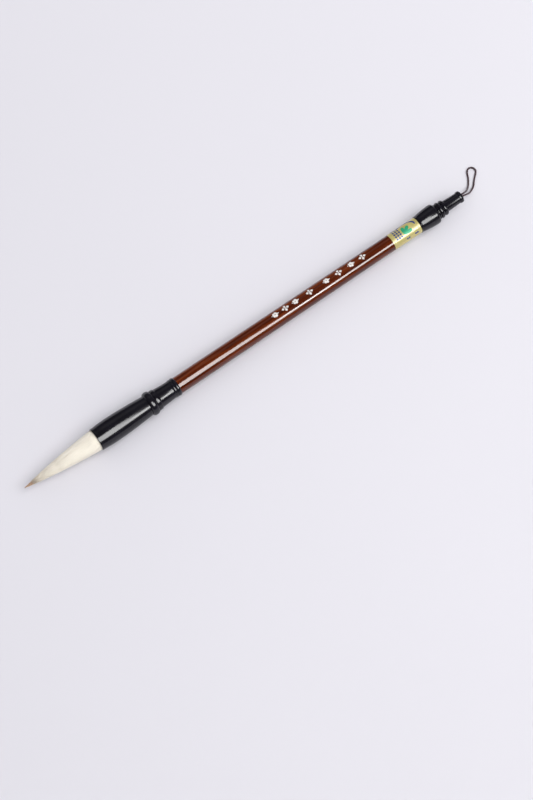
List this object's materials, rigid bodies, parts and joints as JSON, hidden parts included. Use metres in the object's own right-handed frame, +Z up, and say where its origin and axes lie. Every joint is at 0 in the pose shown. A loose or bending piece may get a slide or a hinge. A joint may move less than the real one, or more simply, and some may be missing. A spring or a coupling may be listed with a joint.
{
  "type": "calligraphy brush",
  "caption": "Large calligraphy brush: pointed hair tuft bound and glued in a turned ferrule, tapered wooden shaft, foil label, turned cap and cord hanging loop.",
  "frame": {"origin": "on the surface that the brush lies on, under the middle of its length from the tip of the hair to the end of the cap, without the cord", "axes": "+X along the brush's axis from the hair to the cap, +Z up, and +Y to the left of +X, which is the side the hanging loop lies on; the brush's axis is 6.8 mm above the surface"},
  "size_m": [0.298, 0.0198, 0.0136],
  "materials": {
    "white_hair": "soft off-white goat hair",
    "belly_hair": "cream goat hair",
    "core_hair": "stiff brown hair",
    "thread": "waxed red thread",
    "resin": "melted rosin",
    "glue": "set glue",
    "black_horn": "polished black, like ox horn",
    "lacquered_wood": "red-brown hardwood under clear gloss lacquer",
    "white_paint": "white paint in engraved ornaments",
    "gold_foil": "pale gold foil with printed blue and green ornaments",
    "cord": "round braided dark maroon cord"
  },
  "bodies": {
    "brush": {"ferrule": "black_horn", "ferrule_glue": "glue", "shaft": "lacquered_wood", "mark_paint": "white_paint", "label": "gold_foil", "cap_glue": "glue", "cap": "black_horn", "cord_knot": "cord", "hair_root": "white_hair", "root_thread": "thread", "root_resin": "resin", "root_glue": "glue"},
    "tuft": {"tuft_cover": "white_hair", "tuft_belly": "belly_hair", "tuft_core": "core_hair"},
    "loop": {"cord_loop": "cord"}
  },
  "joints": [
    {"name": "tuft_bend", "type": "hinge", "parent": "brush", "child": "tuft", "pos_m": [-0.0987, 0, 0.0068], "axis": [0, 0, 1], "range_deg": [-35, 35], "stiffness_Nm_per_rad": 0.01},
    {"name": "loop_swing", "type": "hinge", "parent": "brush", "child": "loop", "pos_m": [0.14, 0, 0.0068], "axis": [0, 0, 1], "range_deg": [-75, 40], "deforming": ["cord_loop"]}
  ]
}
